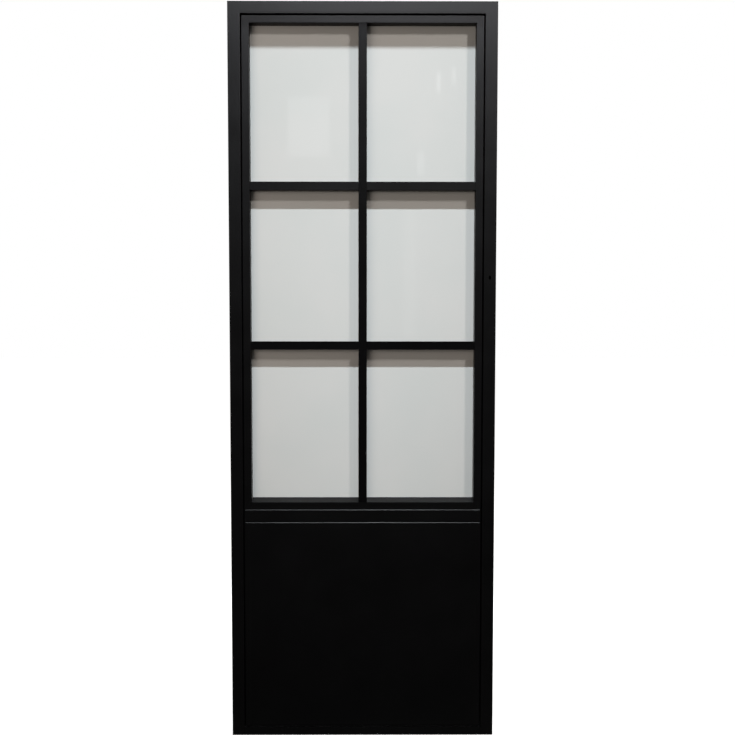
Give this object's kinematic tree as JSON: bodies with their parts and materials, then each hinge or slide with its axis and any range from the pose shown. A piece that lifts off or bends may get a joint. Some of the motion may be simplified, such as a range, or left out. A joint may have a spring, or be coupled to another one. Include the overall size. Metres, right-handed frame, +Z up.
{
  "type": "glass door",
  "caption": "Slim black steel door with its frame: paned upper part over a flush lower panel, hinged on barrels.",
  "frame": {"origin": "middle of the threshold's underside, half way through the frame's depth", "axes": "+Z up, +X from the hinge side to the latch side, +Y from the front to the rear, where the leaf opens"},
  "size_m": [0.86, 0.0763, 2.38],
  "materials": {
    "frame_paint": "satin black powder coat",
    "leaf_paint": "satin black powder coat",
    "bead_paint": "satin black powder coat",
    "pane_glass": "white opal laminated safety glass, glossy both sides",
    "pane_seal": "matt black glazing tape",
    "stop_seal": "matt black hollow seal",
    "block": "black glazing block",
    "core": "rigid foam board",
    "hinge_paint": "satin black",
    "pin_steel": "ground steel",
    "washer_brass": "plain brass",
    "catch_steel": "zinc plated",
    "strike_steel": "zinc plated"
  },
  "bodies": {
    "frame": {"jamb_hinge_side": "frame_paint", "jamb_latch_side": "frame_paint", "frame_head": "frame_paint", "stop_hinge_side": "frame_paint", "stop_latch_side": "frame_paint", "stop_head": "frame_paint", "threshold": "frame_paint", "seal_hinge_side": "stop_seal", "seal_latch_side": "stop_seal", "seal_head": "stop_seal", "strike_plate": "strike_steel", "strike_screws": "strike_steel", "hinge_1_frame_barrel": "hinge_paint", "hinge_1_pin": "pin_steel", "hinge_1_washer": "washer_brass", "hinge_2_frame_barrel": "hinge_paint", "hinge_2_pin": "pin_steel", "hinge_2_washer": "washer_brass", "hinge_3_frame_barrel": "hinge_paint", "hinge_3_pin": "pin_steel", "hinge_3_washer": "washer_brass"},
    "leaf": {"bar_cross_1_1": "leaf_paint", "bar_cross_1_2": "leaf_paint", "bar_cross_2_1": "leaf_paint", "bar_cross_2_2": "leaf_paint", "bar_upright_1": "leaf_paint", "beads_1_1": "bead_paint", "beads_1_2": "bead_paint", "beads_2_1": "bead_paint", "beads_2_2": "bead_paint", "beads_3_1": "bead_paint", "beads_3_2": "bead_paint", "bottom_rail": "leaf_paint", "catch_cup": "catch_steel", "catch_spring": "catch_steel", "hinge_1_leaf_barrel": "hinge_paint", "hinge_2_leaf_barrel": "hinge_paint", "hinge_3_leaf_barrel": "hinge_paint", "mid_strip": "leaf_paint", "pane_1_1": "pane_glass", "pane_1_2": "pane_glass", "pane_2_1": "pane_glass", "pane_2_2": "pane_glass", "pane_3_1": "pane_glass", "pane_3_2": "pane_glass", "pane_seals_1_1": "pane_seal", "pane_seals_1_2": "pane_seal", "pane_seals_2_1": "pane_seal", "pane_seals_2_2": "pane_seal", "pane_seals_3_1": "pane_seal", "pane_seals_3_2": "pane_seal", "panel_core": "core", "panel_front_sheet": "leaf_paint", "panel_rear_sheet": "leaf_paint", "setting_blocks": "block", "sill_rail": "leaf_paint", "stile_hinge_side": "leaf_paint", "stile_latch_side": "leaf_paint", "top_rail": "leaf_paint"},
    "catch_ball": {"catch_ball": "catch_steel"}
  },
  "joints": [
    {"name": "leaf_swing", "type": "hinge", "parent": "frame", "child": "leaf", "pos_m": [-0.40335, 0.0383, 1.19], "axis": [0, 0, 1], "range_deg": [0, 170]},
    {"name": "catch_press", "type": "slide", "parent": "leaf", "child": "catch_ball", "axis": [1, 0, 0], "range_m": [-0.0023, 0], "stiffness_N_per_m": 1200, "springref_m": 0.004, "deforming": ["catch_spring"]}
  ]
}
